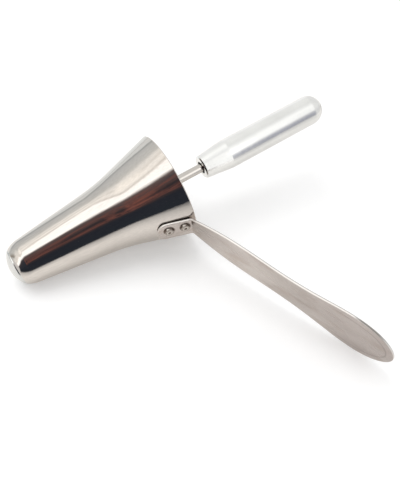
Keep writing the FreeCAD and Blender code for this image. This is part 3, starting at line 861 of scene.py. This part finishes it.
# Strap handle
def blade_half_widths():
    """The blade's outline as (along, half width) pairs, on a smooth curve through the drawn points."""
    points = [Vector(point) for point in BLADE_OUTLINE]
    spans = [0.0]
    for first, second in zip(points, points[1:]):
        spans.append(spans[-1] + (second - first).length)
    count = len(points)
    start_way, end_way = Vector((1.0, 0.3)).normalized(), Vector((0.0, -1.0))
    # Tangents of the natural smooth curve, solved by relaxing its tridiagonal system
    ways = [start_way] + [Vector((1.0, 0.0)) for _ in range(count - 2)] + [end_way]
    for _ in range(200):
        for index in range(1, count - 1):
            before = spans[index] - spans[index - 1]
            after = spans[index + 1] - spans[index]
            pull = 3 * (
                (points[index] - points[index - 1]) * (after / before)
                + (points[index + 1] - points[index]) * (before / after)
            )
            pull -= ways[index - 1] * after + ways[index + 1] * before
            ways[index] = pull / (2 * (before + after))
    outline = []
    for index in range(count - 1):
        span = spans[index + 1] - spans[index]
        steps = 40 if index == count - 2 else max(6, round(span / 1.2))
        for step in range(steps):
            t = step / steps
            h00 = 2 * t ** 3 - 3 * t ** 2 + 1
            h10 = t ** 3 - 2 * t ** 2 + t
            h01 = -2 * t ** 3 + 3 * t ** 2
            h11 = t ** 3 - t ** 2
            outline.append(
                points[index] * h00 + ways[index] * (h10 * span)
                + points[index + 1] * h01 + ways[index + 1] * (h11 * span)
            )
    outline.append(points[-1])
    return outline


def strap_side():
    """The strap's flat half outline from the tab's end to the blade's end, (along, half width, run)."""
    corner_x = -(TAB_LENGTH - TAB_CORNER)
    side = [Vector((-TAB_LENGTH, 0.0)), Vector((-TAB_LENGTH, (TAB_HALF_WIDTH - TAB_CORNER) * 0.5))]
    for step in range(13):
        angle = math.pi - math.pi / 2 * step / 12
        side.append(Vector((
            corner_x + TAB_CORNER * math.cos(angle),
            TAB_HALF_WIDTH - TAB_CORNER + TAB_CORNER * math.sin(angle),
        )))
    tab = [(point.x, point.y, "tab") for point in side]
    tab += [(x, TAB_HALF_WIDTH, "tab") for x in (-9.4, -8, -6.5, -5, -3.5, -2, -1, -0.4)]
    bend = [(step / 14, TAB_HALF_WIDTH, "bend") for step in range(15)]
    blade = [(point.x, max(point.y, 0.0), "blade") for point in blade_half_widths()[1:]]
    return tab + bend + blade


def strap_place(along, across, rise, run):
    """A point of the flat strap, bent into place in the tab's frame."""
    reach = STRIP + BEND_INNER
    if run == "tab":
        return Vector((along, across, rise))
    angle = BEND if run == "blade" else BEND * along
    x = (reach - rise) * math.sin(angle)
    z = reach - (reach - rise) * math.cos(angle)
    if run == "blade":
        x += along * math.cos(angle)
        z += along * math.sin(angle)
    return Vector((x, across, z))


def flat_length(along, run):
    """How far along the flat strip a place lies; in the bend, along is a share of its arc."""
    if run == "bend":
        return along * BEND_ARC
    return along if run == "tab" else along + BEND_ARC


def outward_ways(flat):
    """The flat outline's outward way at each point, for the insets round its edge."""
    ways = [Vector((-1.0, 0.0))]
    for before, after in zip(flat, flat[2:]):
        way = after - before
        ways.append(Vector((-way.y, way.x)).normalized())
    return ways + [Vector((1.0, 0.0))]


def strap_rings():
    """The strap's section from one face round to the other: each ring is (inset, rise, painted edge
    light).
    """
    insets = (2.1, 1.7, GROUND_BORDER, 1.3, 0.7, STRIP_EDGE + 0.05)
    corner = []
    for step in range(EDGE_STEPS + 1):
        angle = math.pi / 2 * step / EDGE_STEPS
        inset = STRIP_EDGE * (1 - math.sin(angle))
        rise = STRIP - STRIP_EDGE * (1 - math.cos(angle))
        corner.append((inset, rise, step / EDGE_STEPS))
    rings = [(inset, STRIP, 0.0) for inset in insets] + corner + [(0.0, EDGE_MIDDLE, 1.0)]
    # The back's corner is marked past 1 all round, so it gets painted shade
    rings += [(inset, STRIP - rise, BACK_CORNER_SHADE) for inset, rise, edge_light in reversed(corner)]
    return rings + [(inset, 0.0, 0.0) for inset in reversed(insets)]


def strap_faces(loops, last):
    """Faces between the loops of points, and across the first and the last loop."""
    count = len(loops[0])
    faces = []
    for upper, lower in zip(loops, loops[1:]):
        for index in range(count):
            after = (index + 1) % count
            faces.append((upper[index], lower[index], lower[after], upper[after]))
    for loop, turned in ((loops[0], False), (loops[-1], True)):
        for index in range(last):
            other_low = loop[0] if index == 0 else loop[count - index]
            other_high = loop[last] if index == last - 1 else loop[count - index - 1]
            face = [loop[index], loop[index + 1], other_high, other_low]
            face = [point for place, point in enumerate(face) if point not in face[:place]]
            faces.append(tuple(reversed(face)) if turned else tuple(face))
    return faces


def make_strap(metal):
    """The whole strip with its rounded edges and their painted highlight and shade, as rings of points
    from one face round to the other.
    """
    side = strap_side()
    ways = outward_ways([Vector((flat_length(along, run), across)) for along, across, run in side])
    vertices = []
    lengths = []
    edges = []
    borders = []

    def put(index, inset, rise, edge_light, sign):
        along, across, run = side[index]
        ground = 0.0
        # The bend's edges get only a little of the painted highlight
        if run == "bend" and edge_light <= 1.0:
            edge_light *= BEND_MARK
        if run == "blade":
            # One side's edge gets painted shade for a short way before the blade's round end
            if sign == SHADED_SIDE and 0.5 < edge_light <= 1.0:
                dark = clamped((along - SHADE_START) / SHADE_RISE)
                edge_light += SHADE_MARK * dark * clamped((SHADE_END - along) / SHADE_FALL)
            ground = clamped((along - GROUND_START) / GROUND_RUN)
        edges.append(edge_light)
        # The ground border is thinner, with a fine line inside
        borders.append(ground if inset == GROUND_BORDER else 0.0)
        thin = GROUND_THINNING * ground * clamped((GROUND_BORDER - inset) / GROUND_EASE)
        rise -= math.copysign(thin, rise - STRIP / 2)
        if inset > 0.5:
            inset *= 1.0 + GROUND_WIDENING * ground
        moved = along if run == "bend" else along - ways[index].x * inset
        wide = max(across - ways[index].y * inset, 0.0)
        # The tab's long edges are hammered down towards the tube, less so near the bend
        if run == "tab":
            rise -= TAB_HUG * (wide / TAB_HALF_WIDTH) ** 4 * min(1.0, -along / TAB_HUG_RUN)
        vertices.append(strap_place(moved, wide * sign, rise, run))
        lengths.append(Vector((flat_length(moved, run) * 0.001, wide * sign * 0.001)))
        return len(vertices) - 1

    # One loop of points round the outline for each ring: out along one side, back along the other
    last = len(side) - 1
    order = [(index, 1) for index in range(last + 1)]
    order += [(index, -1) for index in range(last - 1, 0, -1)]
    loops = [[put(index, *ring, sign) for index, sign in order] for ring in strap_rings()]
    mesh = bpy.data.meshes.new("handle_strap")
    mesh.from_pydata(vertices, [], strap_faces(loops, last))
    mesh.validate()
    for name, values in (("edge_highlight_and_shade", edges), ("ground_border", borders)):
        mesh.attributes.new(name, "FLOAT", "POINT").data.foreach_set("value", values)
    strap_map = mesh.uv_layers.new(name="strap")
    for corner in mesh.loops:
        strap_map.data[corner.index].uv = lengths[corner.vertex_index]
    mesh.materials.append(metal)
    mesh.polygons.foreach_set("use_smooth", [True] * len(mesh.polygons))
    mesh.transform(TAB_PLACE)
    piece = bpy.data.objects.new("handle_strap", mesh)
    bpy.context.scene.collection.objects.link(piece)
    return piece


# Rivets
def rivet_line():
    """A rivet's half profile, from the middle of its dimple to the middle of its tail."""
    back = BEND_SETBACK + RIVET_SETBACK + RIVET_PITCH
    inside = MOUTH_RADIUS - WALL - back * math.tan(FLARE_SLOPE)
    seat = WALL + (RIVET_OFFSET + TAIL) ** 2 / (2 * inside)
    top = STRIP + HEAD_HEIGHT
    corners = [
        (top - DIMPLE_DEPTH, 0.0, 0.0),
        (top, DIMPLE, 0.12),
        (top, HEAD_TOP, 0.35),
        (STRIP, HEAD, 0.12),
        (STRIP, SHANK, 0.0),
        (-seat, SHANK, 0.0),
        (-seat, TAIL, 0.1),
        (-seat - TAIL_HEIGHT, 0.0, 0.0),
    ]
    return profile_line(corners, step=0.25)


def add_grime(mesh):
    """Marks the rivet's dimple and flank, its own Z up the shank."""
    top = STRIP + HEAD_HEIGHT
    grime = mesh.attributes.new("grime", "FLOAT", "POINT")
    for index, vertex in enumerate(mesh.vertices):
        out = math.hypot(vertex.co.x, vertex.co.y)
        if out < DIMPLE:
            share = 1.0
        elif vertex.co.z > top - 0.2:
            share = GRIMY_TOP * clamped((out - GRIMY_FROM) / GRIMY_RUN)
        else:
            # Lighter in one place on the flank
            around_head = math.degrees(math.atan2(vertex.co.y, vertex.co.x))
            share = 1.0 - PALER_SHARE * clamped(1.0 - abs(around_head - PALER_WAY) / PALER_SPREAD)
        grime.data[index].value = share


def rivet_tree():
    """Geometry Nodes that put the turned rivet at each place along the tab."""
    tree, given, result = start_rule("rivets_in_line", {
        "Rivet": "Geometry",
        "Count": "Int",
        "First place": "Vector",
        "Pitch": "Vector",
        "Metal": "Material",
    }, "Rivets")
    line = add_node(tree, "GeometryNodeMeshLine", {
        "Count": given.outputs["Count"],
        "Start Location": given.outputs["First place"],
        "Offset": given.outputs["Pitch"],
    }, mode="OFFSET")
    copies = add_node(tree, "GeometryNodeInstanceOnPoints", {
        "Points": line.outputs["Mesh"],
        "Instance": given.outputs["Rivet"],
    })
    end_rule(tree, given, result, copies)
    return tree


def make_rivets(metal):
    shank_up = Matrix.Rotation(-math.pi / 2, 4, "Y")
    one = turned_piece("rivet_pattern", rivet_line(), metal, 48, shank_up)
    make_outward(one.data)
    add_grime(one.data)
    pattern = one.data
    bpy.data.objects.remove(one)
    values = {
        "Count": 2,
        "First place": (-RIVET_SETBACK, RIVET_OFFSET, 0.0),
        "Pitch": (-RIVET_PITCH, 0.0, 0.0),
        "Metal": metal,
    }
    return bake("tab_rivets", pattern, rivet_tree(), values, TAB_PLACE)


# Obturator
def nose_line():
    """The plug's half profile, from the dome's top to the rod."""
    centre = curl_centre()
    land = TIP_BORE - PLUG_PLAY
    curl = CURL_RADIUS - WALL - PLUG_PLAY
    dome_centre = DOME - PLUG_PROUD
    # The dome's edge is eased by a small round that meets both the dome and the land
    reach = math.sqrt((DOME - DOME_EASE) ** 2 - (land - DOME_EASE) ** 2)
    ease_centre = Vector((dome_centre - reach, land - DOME_EASE))
    first = math.atan2(ease_centre.y, -reach)
    line = [Vector((-PLUG_PROUD, 0.0))] + arc_points((dome_centre, 0), DOME, math.pi, first, 26)
    line += arc_points(ease_centre, DOME_EASE, first, math.pi / 2, 6)
    shoulder = Vector((centre.x - math.sqrt(curl ** 2 - (land - centre.y) ** 2), land))
    tail = centre + CONE_OUT * curl
    rear = Vector((PLUG_LENGTH, tail.y + (PLUG_LENGTH - tail.x) * math.tan(CONE_SLOPE)))
    line += run_points(line[-1], shoulder)
    line += run_points(line[-1], tail)
    edge = rounded_corner(tail, rear, (PLUG_LENGTH, ROD), 0.5, 5)
    line += run_points(line[-1], edge[0])
    line += edge[1:]
    line += run_points(line[-1], (PLUG_LENGTH, ROD))
    line += run_points(line[-1], (PLUG_LENGTH - ROD_HOLD, ROD))
    line += run_points(line[-1], (PLUG_LENGTH - ROD_HOLD, 0.0))
    return line


def rod_line():
    start = PLUG_LENGTH - ROD_HOLD
    end = TUBE_LENGTH + GRIP_GAP + RECESS_DEPTH + ROD_HOLD
    return profile_line([(start, 0.0, 0.0), (start, ROD, 0.1), (end, ROD, 0.1), (end, 0.0, 0.0)])


def grip_line():
    """The grip's half profile, from the recess round the rod to the round end."""
    front = TUBE_LENGTH + GRIP_GAP
    floor = front + RECESS_DEPTH
    round_start = front + GRIP_LENGTH - GRIP_RADIUS
    corners = [
        (floor + ROD_HOLD, 0.0, 0.0),
        (floor + ROD_HOLD, ROD, 0.0),
        (floor, ROD, 0.0),
        (floor, RECESS, 0.1),
        (front, RECESS, 0.15),
        (front, GRIP_FRONT - GRIP_CHAMFER, 0.12),
        (front + GRIP_CHAMFER, GRIP_FRONT + GRIP_CHAMFER * 0.12, 0.12),
        (front + GRIP_CONE, GRIP_RADIUS, 0.25),
        (round_start, GRIP_RADIUS, 0.0),
    ]
    return profile_line(corners) + arc_points((round_start, 0.0), GRIP_RADIUS, math.pi / 2, 0.0, 26)


LATHE = lathe_tree()
add_camera()
light_room()
add_table()
add_lamp("soft_box_over", (-0.25, 0.35, 0.9), (0, 0, 0), 0.9, 4.0)
bpy.context.scene.view_settings.view_transform = "Standard"

alloy = turned_aluminium("turned_aluminium", (0.77, 0.77, 0.76), (0.825, 0.825, 0.815))
# The nose gets a darker copy of the grip's aluminium, a painted shade for the shadowed table under the
# tip
nose_alloy_shaded = turned_aluminium("plug_aluminium_shaded", (0.60, 0.602, 0.592), (0.66, 0.662, 0.652))

tube = turned_piece("tube_wall", tube_line(), polished_steel(), 256, INSTRUMENT)
finish_piece(tube, "speculum", "polished_steel", "speculum_tube")
strap = make_strap(satin_steel())
finish_piece(strap, "speculum", "satin_steel", "handle_blade")
rivets = make_rivets(rivet_steel())
finish_piece(rivets, "speculum", "satin_steel", "rivet_front", "rivet_rear")
nose = turned_piece("plug_nose", nose_line(), nose_alloy_shaded, 160, INSTRUMENT)
finish_piece(nose, "obturator", "turned_aluminium", "obturator_nose")
rod = turned_piece("plug_rod", rod_line(), rod_steel(), 64, INSTRUMENT)
finish_piece(rod, "obturator", "rod_steel", "obturator_rod")
grip = turned_piece("plug_grip", grip_line(), alloy, 160, INSTRUMENT)
finish_piece(grip, "obturator", "turned_aluminium", "obturator_grip")
